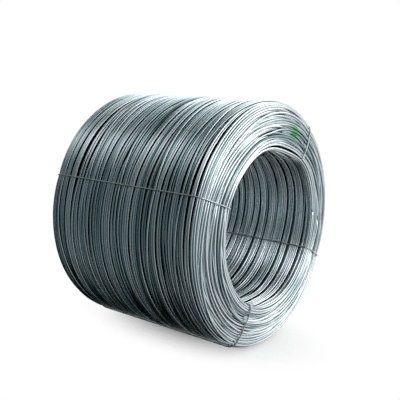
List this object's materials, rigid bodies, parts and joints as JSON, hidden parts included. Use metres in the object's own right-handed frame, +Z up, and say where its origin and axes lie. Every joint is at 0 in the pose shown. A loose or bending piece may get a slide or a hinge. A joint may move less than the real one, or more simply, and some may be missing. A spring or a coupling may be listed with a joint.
{
  "type": "coil of wire rod",
  "caption": "Coil of bright steel wire rod lying on its side, with a round mandrel bore, crowned ends and tie wires looped through the bore and round the outside.",
  "frame": {"origin": "on the floor, under the middle of the lying coil", "axes": "+X along the axis of the coil, towards the end that faces the viewer; +Z up; +Y to the right of that end"},
  "size_m": [0.6386, 0.8, 0.8],
  "materials": {
    "wire": "bright drawn and zinc coated, with a dab of green paint on one end",
    "tie": "dull drawn wire"
  },
  "bodies": {
    "root": {"wire_coil": "wire", "tie_upper_left": "tie", "tie_lower_left": "tie", "tie_lower_right": "tie", "tie_upper_right": "tie"}
  },
  "joints": []
}
